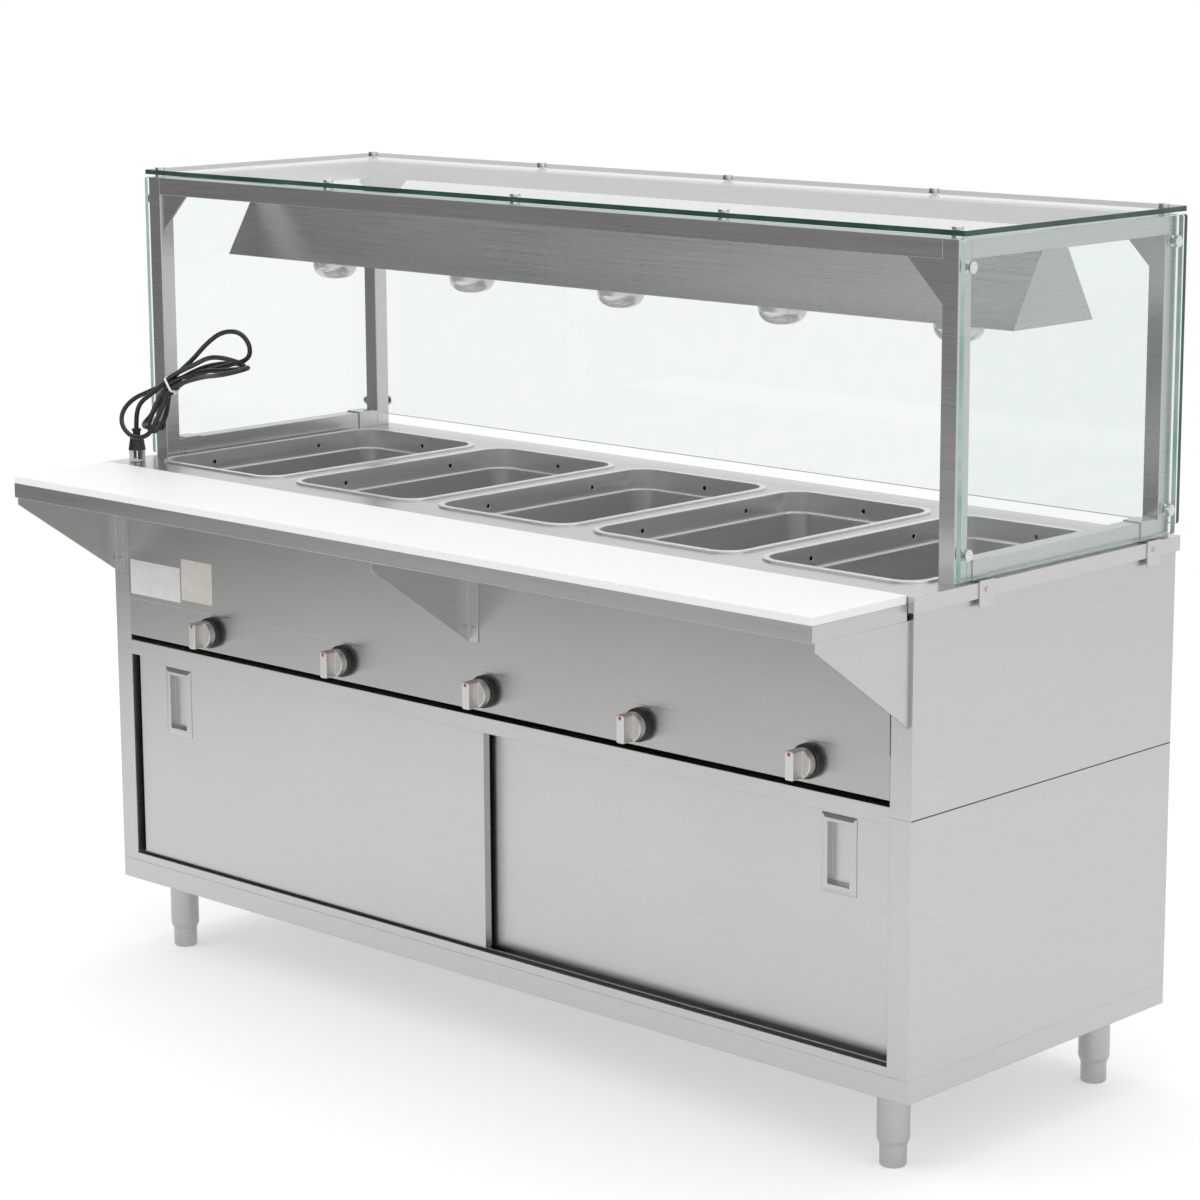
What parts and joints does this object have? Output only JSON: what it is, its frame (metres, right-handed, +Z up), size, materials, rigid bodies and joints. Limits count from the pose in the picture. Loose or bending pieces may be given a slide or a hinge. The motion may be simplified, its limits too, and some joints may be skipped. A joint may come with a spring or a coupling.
{
  "type": "steam table",
  "caption": "Electric steam table with open drop-in wells, sliding-door cabinet, front cutting board shelf, glass sneeze guard and heat lamp hood on adjustable legs.",
  "frame": {"origin": "bottom centre of the bounding box, on the floor, without the power cord", "axes": "+X along the length, -Y towards the operator's side with the doors and knobs, +Z up"},
  "size_m": [1.854, 0.882, 1.42],
  "materials": {
    "black_plastic": "black moulded plastic",
    "board_plastic": "white board, fine grained",
    "bulb_glass": "frosted reflector lamp",
    "cabinet_steel": "fine brushed stainless sheet, satin",
    "ceramic_white": "white glazed lamp holder",
    "clear_plastic": "clear prong cover",
    "cord_rubber": "black flexible cord",
    "counter_steel": "brushed stainless sheet, brighter",
    "element_metal": "dull heater sheath",
    "frame_steel": "brushed stainless tube",
    "guard_glass": "clear tempered glass with green edges",
    "hood_steel": "brushed stainless sheet",
    "knob_metal": "satin cast metal with a red pointer dot",
    "leg_steel": "ground stainless tube",
    "standoff_metal": "polished caps",
    "tie_plastic": "white tie",
    "well_steel": "drawn stainless, soft sheen"
  },
  "bodies": {
    "cabinet": {"back_glass": "guard_glass", "back_panel": "cabinet_steel", "base_shelf": "cabinet_steel", "bottom_rails": "frame_steel", "control_panel": "cabinet_steel", "cord_grommet": "cord_rubber", "cord_hank": "cord_rubber", "cord_plug": "cord_rubber", "cord_tie": "tie_plastic", "countertop": "counter_steel", "door_header": "cabinet_steel", "door_sill": "cabinet_steel", "end_glass_left": "guard_glass", "end_glass_right": "guard_glass", "frame_straps": "frame_steel", "glass_standoffs": "standoff_metal", "gusset_plates": "frame_steel", "heat_bulbs": "bulb_glass", "heat_switches": "black_plastic", "heating_elements": "element_metal", "knob_bezels": "black_plastic", "lamp_hood": "hood_steel", "lamp_sockets": "ceramic_white", "leg_sockets": "leg_steel", "plug_cover": "clear_plastic", "post_back_left": "frame_steel", "post_back_right": "frame_steel", "post_front_left": "frame_steel", "post_front_right": "frame_steel", "power_cord": "cord_rubber", "shelf_brackets": "cabinet_steel", "side_panel_left": "cabinet_steel", "side_panel_right": "cabinet_steel", "top_glass": "guard_glass", "top_rails": "frame_steel", "tray_shelf": "cabinet_steel", "upper_back_panel": "cabinet_steel", "upper_side_left": "cabinet_steel", "upper_side_right": "cabinet_steel", "well_1": "well_steel", "well_2": "well_steel", "well_3": "well_steel", "well_4": "well_steel", "well_5": "well_steel"},
    "door_left": {"door_left": "cabinet_steel", "door_pull_left": "cabinet_steel"},
    "door_right": {"door_right": "cabinet_steel", "door_pull_right": "cabinet_steel"},
    "knob_1": {"knob_1": "knob_metal"},
    "knob_2": {"knob_2": "knob_metal"},
    "knob_3": {"knob_3": "knob_metal"},
    "knob_4": {"knob_4": "knob_metal"},
    "knob_5": {"knob_5": "knob_metal"},
    "foot_front_left": {"foot_front_left": "leg_steel"},
    "foot_front_right": {"foot_front_right": "leg_steel"},
    "foot_back_left": {"foot_back_left": "leg_steel"},
    "foot_back_right": {"foot_back_right": "leg_steel"},
    "cutting_board": {"cutting_board": "board_plastic"}
  },
  "joints": [
    {"name": "door_left_slide", "type": "slide", "parent": "cabinet", "child": "door_left", "axis": [1, 0, 0], "range_m": [0, 0.845]},
    {"name": "door_right_slide", "type": "slide", "parent": "cabinet", "child": "door_right", "axis": [-1, 0, 0], "range_m": [0, 0.845]},
    {"name": "knob_1_turn", "type": "hinge", "parent": "cabinet", "child": "knob_1", "pos_m": [-0.6465, -0.221, 0.625], "axis": [0, 1, 0], "range_deg": [0, 270]},
    {"name": "knob_2_turn", "type": "hinge", "parent": "cabinet", "child": "knob_2", "pos_m": [-0.3045, -0.221, 0.625], "axis": [0, 1, 0], "range_deg": [0, 270]},
    {"name": "knob_3_turn", "type": "hinge", "parent": "cabinet", "child": "knob_3", "pos_m": [0.0375, -0.221, 0.625], "axis": [0, 1, 0], "range_deg": [0, 270]},
    {"name": "knob_4_turn", "type": "hinge", "parent": "cabinet", "child": "knob_4", "pos_m": [0.3795, -0.221, 0.625], "axis": [0, 1, 0], "range_deg": [0, 270]},
    {"name": "knob_5_turn", "type": "hinge", "parent": "cabinet", "child": "knob_5", "pos_m": [0.7215, -0.221, 0.625], "axis": [0, 1, 0], "range_deg": [0, 270]},
    {"name": "foot_front_left_adjust", "type": "slide", "parent": "cabinet", "child": "foot_front_left", "axis": [0, 0, -1], "range_m": [0, 0.025]},
    {"name": "foot_front_right_adjust", "type": "slide", "parent": "cabinet", "child": "foot_front_right", "axis": [0, 0, -1], "range_m": [0, 0.025]},
    {"name": "foot_back_left_adjust", "type": "slide", "parent": "cabinet", "child": "foot_back_left", "axis": [0, 0, -1], "range_m": [0, 0.025]},
    {"name": "foot_back_right_adjust", "type": "slide", "parent": "cabinet", "child": "foot_back_right", "axis": [0, 0, -1], "range_m": [0, 0.025]},
    {"name": "cutting_board_lift", "type": "slide", "parent": "cabinet", "child": "cutting_board", "axis": [0, 0, 1], "range_m": [0, 0.06]}
  ]
}
